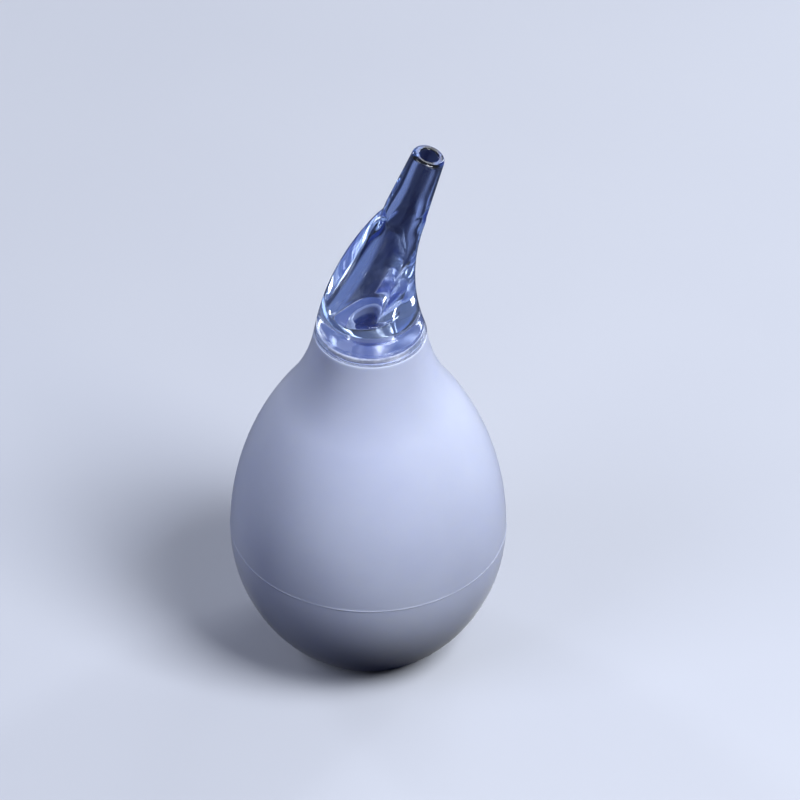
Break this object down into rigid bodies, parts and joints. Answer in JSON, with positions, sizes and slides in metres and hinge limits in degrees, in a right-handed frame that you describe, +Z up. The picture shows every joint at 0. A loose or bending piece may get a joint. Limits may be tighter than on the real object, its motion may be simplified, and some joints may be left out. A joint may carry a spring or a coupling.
{
  "type": "bulb nasal aspirator",
  "caption": "Egg-shaped soft squeeze bulb with a clear curved suction nozzle that turns and pulls off, and a chimney plate that keeps fluid out of the bulb.",
  "frame": {"origin": "centre of the bulb's flat foot, on the surface that it stands on", "axes": "+Z up the bulb's axis towards the nozzle, +X the way the nozzle bends, +Y completes the frame; the object mirrors across the XZ plane"},
  "size_m": [0.055, 0.055, 0.1226],
  "materials": {
    "bulb_silicone": "matt silicone with a fine even grain",
    "clear_plastic": "polished, clear, faintly blue where thick",
    "seal_silicone": "matt, slightly translucent silicone"
  },
  "bodies": {
    "bulb": {"squeeze_bulb": "bulb_silicone"},
    "guard": {"backflow_guard": "clear_plastic"},
    "seal": {"seal_ring": "seal_silicone"},
    "nozzle": {"nozzle": "clear_plastic"}
  },
  "joints": [
    {"name": "bulb_squeeze", "type": "slide", "parent": "bulb", "child": "guard", "axis": [0, 0, -1], "range_m": [0, 0.02], "stiffness_N_per_m": 900, "deforming": ["squeeze_bulb"]},
    {"name": "nozzle_turn", "type": "hinge", "parent": "guard", "child": "seal", "pos_m": [0, 0, 0.0765], "axis": [0, 0, 1], "continuous": true},
    {"name": "nozzle_pull", "type": "slide", "parent": "seal", "child": "nozzle", "axis": [0, 0, 1], "range_m": [0, 0.012]}
  ]
}
